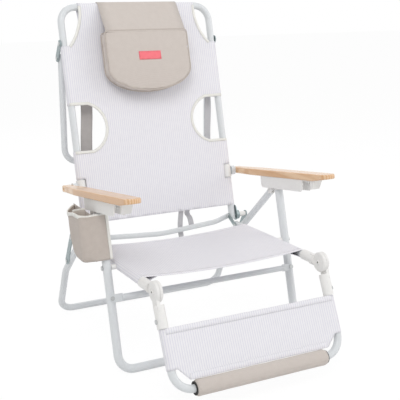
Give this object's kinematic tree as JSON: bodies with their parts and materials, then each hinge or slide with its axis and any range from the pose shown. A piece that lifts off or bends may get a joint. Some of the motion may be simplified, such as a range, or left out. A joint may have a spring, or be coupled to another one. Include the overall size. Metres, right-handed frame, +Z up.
{
  "type": "folding reclining beach chair",
  "caption": "Reclining beach chair of white tube with fabric slings, wooden arms on notched tracks, swinging footrest, head pillow, rear prop and side pouch; legs and back fold flat.",
  "frame": {"origin": "on the floor in the centre plane of the frame, midway between the front and rear floor tubes", "axes": "+Z up, the sitter faces -Y, +X to the viewer's right when looking along +Y at the front"},
  "size_m": [0.6905, 0.8546, 1.0221],
  "materials": {
    "tube": "white powder coat",
    "plastic": "moulded white",
    "steel": "zinc plated",
    "sling": "white woven cloth with fine lilac stripes",
    "padding": "beige woven cover over foam",
    "pouch": "taupe woven cloth with pale binding",
    "strap": "grey padded webbing",
    "patch": "plain coral patch",
    "black": "dark end discs",
    "wood": "lacquered light wood"
  },
  "bodies": {
    "seat": {"seat_rail_left": "tube", "seat_rail_right": "tube", "seat_plate_left": "steel", "seat_plate_right": "steel", "seat_rivets": "steel", "hinge_bolts": "steel", "hinge_spacers": "plastic", "seat_pivot_bolts": "steel", "seat_spacers": "plastic", "ratchet_upper_left": "plastic", "ratchet_upper_right": "plastic", "seat_sling": "sling"},
    "front_leg": {"front_leg": "tube", "leg_brace": "tube", "brace_rivets": "steel", "leg_cap_left": "plastic", "leg_cap_right": "plastic", "side_pouch": "pouch"},
    "rear_leg": {"rear_leg": "tube", "rear_fork_left": "plastic", "rear_fork_right": "plastic", "rear_rivets": "steel"},
    "rear_links": {"rear_link_left": "tube", "rear_link_right": "tube", "link_rivets": "steel"},
    "fold_plates": {"fold_plate_left": "steel", "fold_plate_right": "steel", "fold_hubs": "steel"},
    "back": {"back_frame": "tube", "back_crossbar": "tube", "prop_plate_left": "tube", "prop_plate_right": "tube", "prop_rivets": "steel", "arm_collar_left": "plastic", "arm_collar_right": "plastic", "back_sling": "sling", "head_pillow": "padding", "pillow_flap": "padding", "pillow_label": "patch", "strap_left": "strap", "strap_right": "strap"},
    "arm_pivots": {"arm_pivot_left": "tube", "arm_pivot_right": "tube"},
    "arms": {"armrest_left": "wood", "armrest_right": "wood", "arm_track_left": "plastic", "arm_track_right": "plastic", "track_screws": "steel"},
    "rear_prop": {"rear_prop": "tube"},
    "footrest": {"footrest_frame": "tube", "ratchet_lower_left": "plastic", "ratchet_lower_right": "plastic", "footrest_rivets": "steel", "footrest_sling": "sling", "footrest_roll": "padding", "roll_end_discs": "black"}
  },
  "joints": [
    {"name": "fold", "type": "hinge", "parent": "seat", "child": "front_leg", "pos_m": [0, -0.184, 0.297], "axis": [1, 0, 0], "range_deg": [0, 90]},
    {"name": "rear_leg_swing", "type": "hinge", "parent": "front_leg", "child": "rear_leg", "pos_m": [0, -0.112, 0.448], "axis": [1, 0, 0], "range_deg": [-60.3, 0]},
    {"name": "rear_link_swing", "type": "hinge", "parent": "rear_leg", "child": "rear_links", "pos_m": [0, 0.13222, 0.22606], "axis": [1, 0, 0], "range_deg": [-137.7, 0]},
    {"name": "back_fold", "type": "hinge", "parent": "seat", "child": "fold_plates", "pos_m": [0, 0.083, 0.316], "axis": [1, 0, 0], "range_deg": [0, 90]},
    {"name": "recline", "type": "hinge", "parent": "fold_plates", "child": "back", "pos_m": [0, 0.083, 0.316], "axis": [-1, 0, 0], "range_deg": [0, 65]},
    {"name": "arm_lift", "type": "hinge", "parent": "back", "child": "arm_pivots", "pos_m": [0, 0.12249, 0.46278], "axis": [1, 0, 0], "range_deg": [-97.2, 0]},
    {"name": "arm_level", "type": "hinge", "parent": "arm_pivots", "child": "arms", "pos_m": [0, 0.12249, 0.46278], "axis": [-1, 0, 0], "range_deg": [-49.79, 0]},
    {"name": "footrest_tilt", "type": "hinge", "parent": "seat", "child": "footrest", "pos_m": [0, -0.435, 0.303], "axis": [1, 0, 0], "range_deg": [-65, 60]},
    {"name": "prop_swing", "type": "hinge", "parent": "back", "child": "rear_prop", "pos_m": [0, 0.27097, 0.85103], "axis": [1, 0, 0], "range_deg": [-8, 100]}
  ],
  "couplings": [
    {"joint": "rear_leg_swing", "follows": "fold", "ratio": -0.67},
    {"joint": "rear_link_swing", "follows": "fold", "ratio": -1.53},
    {"joint": "back_fold", "follows": "fold", "ratio": 1},
    {"joint": "arm_lift", "follows": "fold", "ratio": -1.08},
    {"joint": "arm_level", "follows": "recline", "ratio": -0.766}
  ]
}
